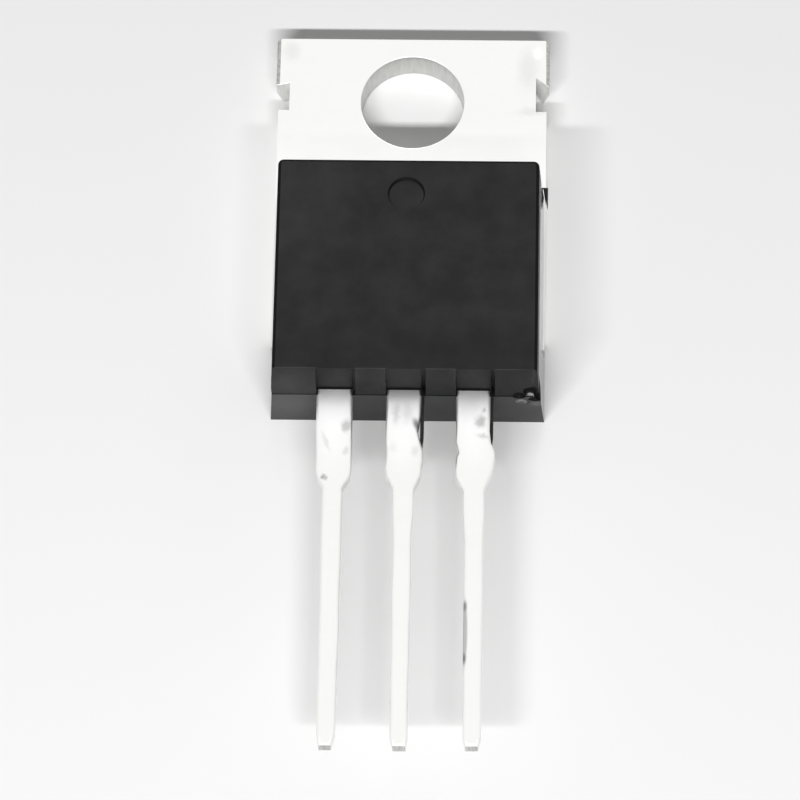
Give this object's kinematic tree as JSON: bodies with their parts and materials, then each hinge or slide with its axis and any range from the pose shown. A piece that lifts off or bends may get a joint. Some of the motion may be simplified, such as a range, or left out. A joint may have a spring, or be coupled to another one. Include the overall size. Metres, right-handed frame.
{
  "type": "power mosfet",
  "caption": "Flat three-lead power transistor: a black moulded body on a tinned metal plate whose free end carries a screw hole for a heatsink.",
  "frame": {"origin": "centre of the mounting hole at the plate's metal back face", "axes": "+Z along the hole, out of the black front; +Y to the tab's free end, so the leads point along -Y; +X to the right as seen from the front with the leads down"},
  "size_m": [0.0102, 0.0292, 0.0044],
  "materials": {
    "tinned_copper": "matt tin plating over copper",
    "black_epoxy": "fine matt moulded epoxy",
    "silicon": "polished chip",
    "solder": "reflowed soft solder",
    "aluminium_wire": "drawn wire"
  },
  "bodies": {
    "root": {"plate_with_drain_lead": "tinned_copper", "gate_lead": "tinned_copper", "source_lead": "tinned_copper", "moulded_body": "black_epoxy", "silicon_die": "silicon", "die_attach_solder": "solder", "source_bond_wire_1": "aluminium_wire", "source_bond_wire_2": "aluminium_wire", "gate_bond_wire": "aluminium_wire"}
  },
  "joints": []
}
